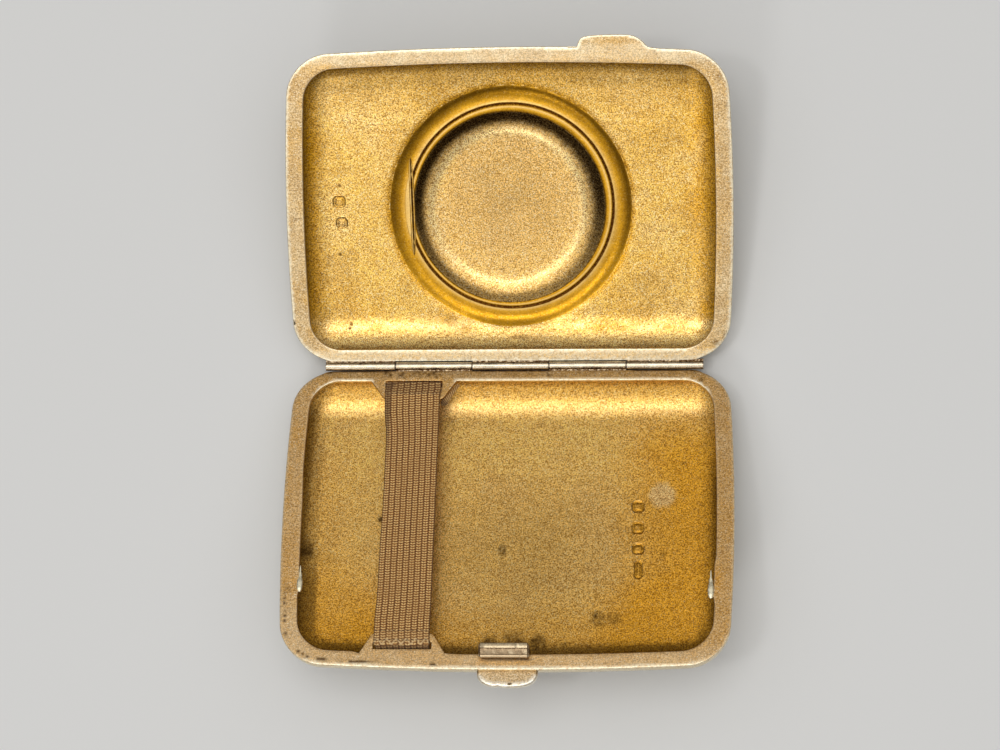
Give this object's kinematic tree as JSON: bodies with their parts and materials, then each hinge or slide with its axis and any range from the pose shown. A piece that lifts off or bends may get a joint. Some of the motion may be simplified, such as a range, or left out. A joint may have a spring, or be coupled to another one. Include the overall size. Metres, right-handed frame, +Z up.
{
  "type": "cheroot case",
  "caption": "Small two-part pocket case in gilt silver with a hinged lid, sprung thumb catch, elastic strap and a hinged round cover in the lid.",
  "frame": {"origin": "on the surface the open case lies on, under the middle of its whole length and width", "axes": "+X along the hinge, with the strap toward -X; +Y from the hinge toward the front edge of the lid; +Z up"},
  "size_m": [0.0894, 0.1284, 0.0245],
  "materials": {
    "gilt_frosted": "frosted gilding on silver, matt",
    "gilt_worn": "worn pale gilding, satin with fine scratches",
    "silver_worn": "bare worn silver, satin",
    "spring_steel": "thin sprung strip, dull",
    "elastic": "ribbed woven elastic, matt"
  },
  "bodies": {
    "base": {"base_shell": "gilt_frosted", "base_rim_frame": "gilt_worn", "base_knuckle_left": "silver_worn", "base_knuckle_right": "silver_worn", "hinge_pin": "silver_worn", "elastic_strap": "elastic", "spring_keeper_left": "silver_worn", "spring_keeper_right": "silver_worn"},
    "catch": {"thumb_push": "gilt_worn", "catch_hook": "gilt_worn", "catch_spring": "spring_steel"},
    "lid": {"lid_shell": "gilt_frosted", "lid_rim_frame": "gilt_worn", "lid_knuckle_left": "silver_worn", "lid_knuckle_middle": "silver_worn", "lid_knuckle_right": "silver_worn", "cover_seat_ring": "gilt_frosted", "cover_ear_front": "silver_worn", "cover_ear_rear": "silver_worn", "cover_pin": "silver_worn"},
    "cover": {"round_cover": "gilt_frosted", "cover_knuckle": "silver_worn"}
  },
  "joints": [
    {"name": "lid_hinge", "type": "hinge", "parent": "base", "child": "lid", "pos_m": [0, 0.00067, 0.00484], "axis": [1, 0, 0], "range_deg": [0, 146]},
    {"name": "catch_slide", "type": "slide", "parent": "base", "child": "catch", "axis": [0, 0.9563, -0.2924], "range_m": [0, 0.0013], "stiffness_N_per_m": 600},
    {"name": "cover_hinge", "type": "hinge", "parent": "lid", "child": "cover", "pos_m": [-0.0208, 0.03326, 0.00565], "axis": [0, 0.9563, 0.2924], "range_deg": [0, 105]}
  ]
}
